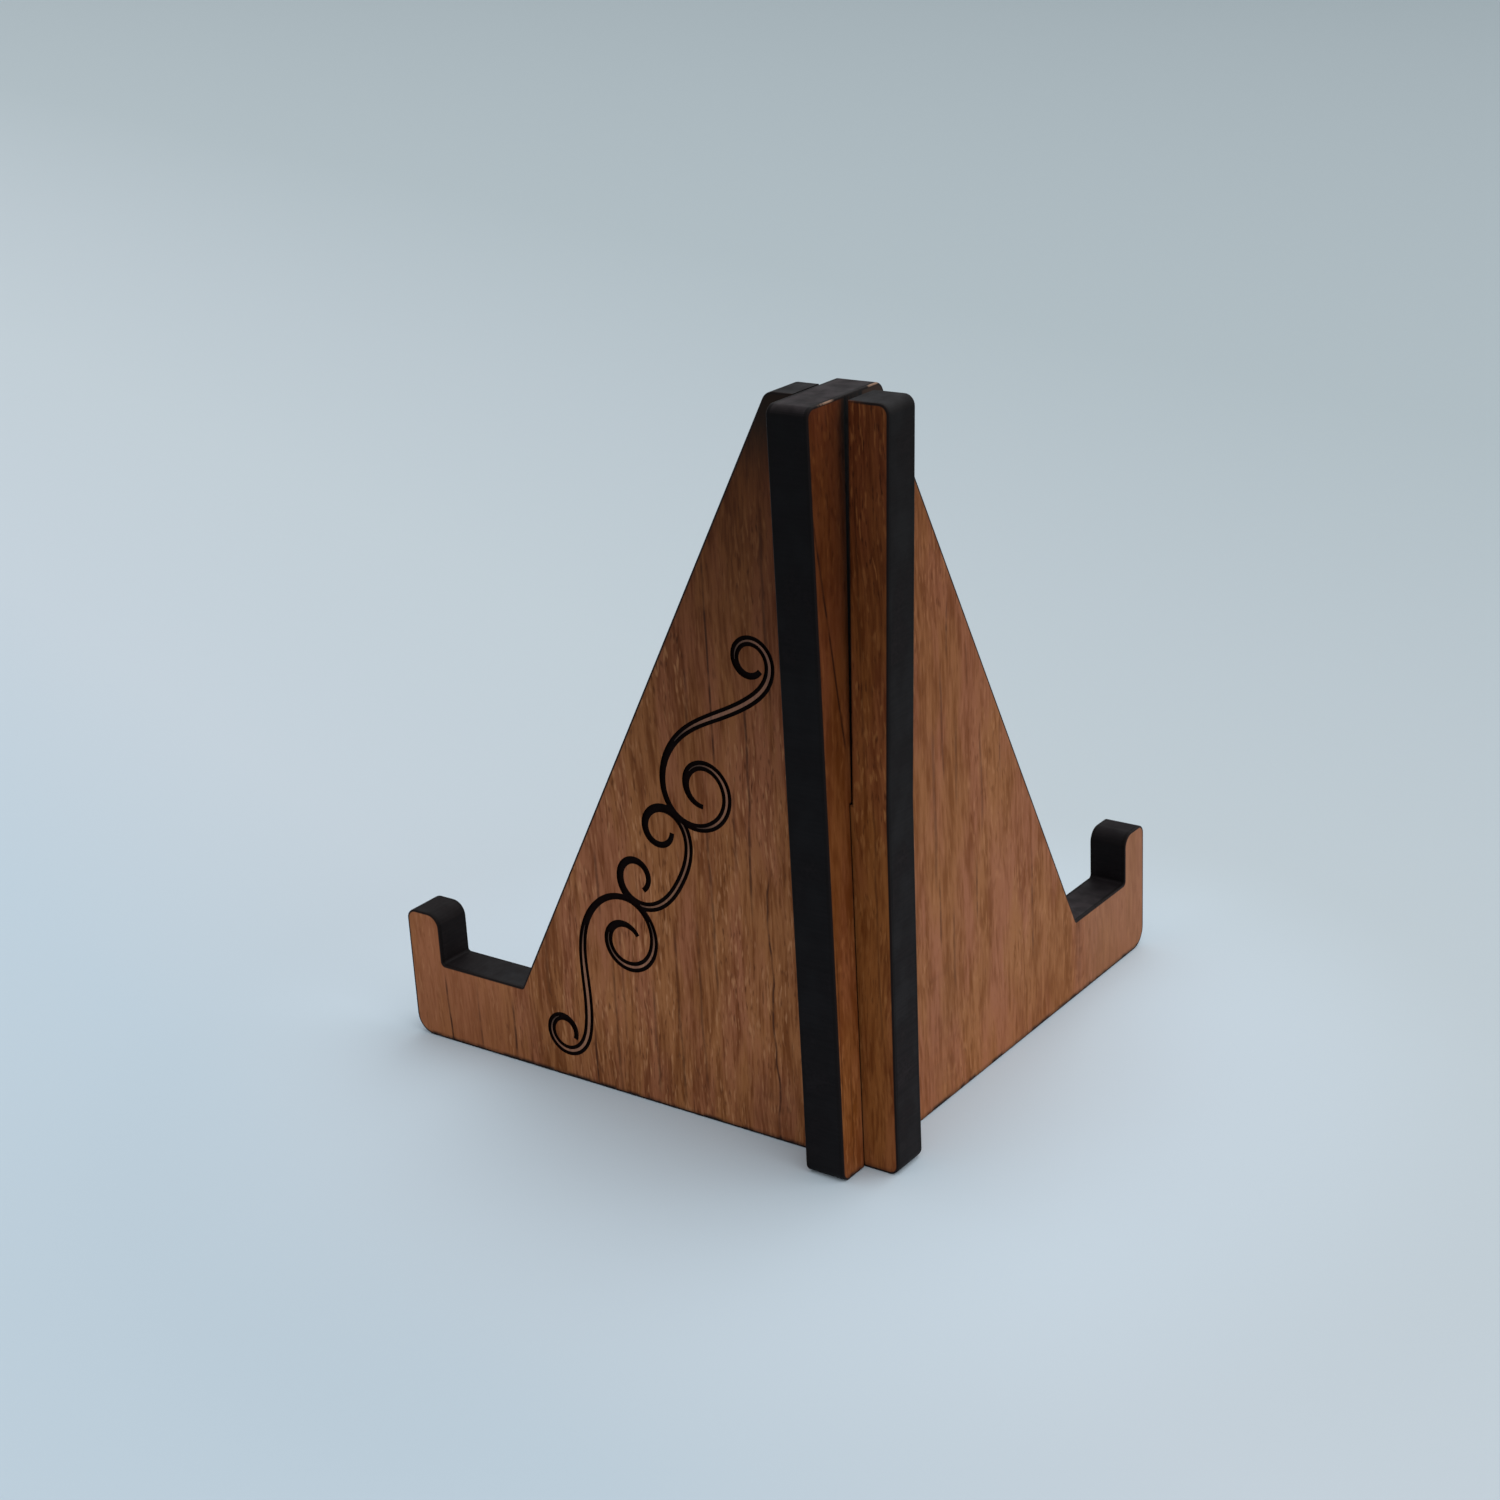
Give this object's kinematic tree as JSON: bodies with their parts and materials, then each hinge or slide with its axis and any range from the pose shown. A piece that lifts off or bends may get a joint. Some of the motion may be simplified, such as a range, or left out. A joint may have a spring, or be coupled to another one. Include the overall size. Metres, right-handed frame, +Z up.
{
  "type": "phone stand",
  "caption": "Two slotted wooden panels that cross at a right angle and hold a phone on a notch in each, behind a low lip.",
  "frame": {"origin": "middle of the bounding box, on the table", "axes": "+Z up, -Y towards the phone's user, +X along the phone's bottom edge towards the scroll panel"},
  "size_m": [0.1214, 0.071, 0.112],
  "materials": {
    "charred_core": "satin, charred by the laser that cut it",
    "engraved_veneer": "oiled satin veneer with burnt engraved lines",
    "veneer": "oiled satin veneer"
  },
  "bodies": {
    "scroll_panel": {"scroll_panel_core": "charred_core", "scroll_panel_outer_veneer": "engraved_veneer", "scroll_panel_inner_veneer": "veneer"},
    "plain_panel": {"plain_panel_core": "charred_core", "plain_panel_outer_veneer": "veneer", "plain_panel_inner_veneer": "veneer"}
  },
  "joints": [
    {"name": "panel_lift", "type": "slide", "parent": "scroll_panel", "child": "plain_panel", "axis": [0, 0, 1], "range_m": [0, 0.056]}
  ]
}
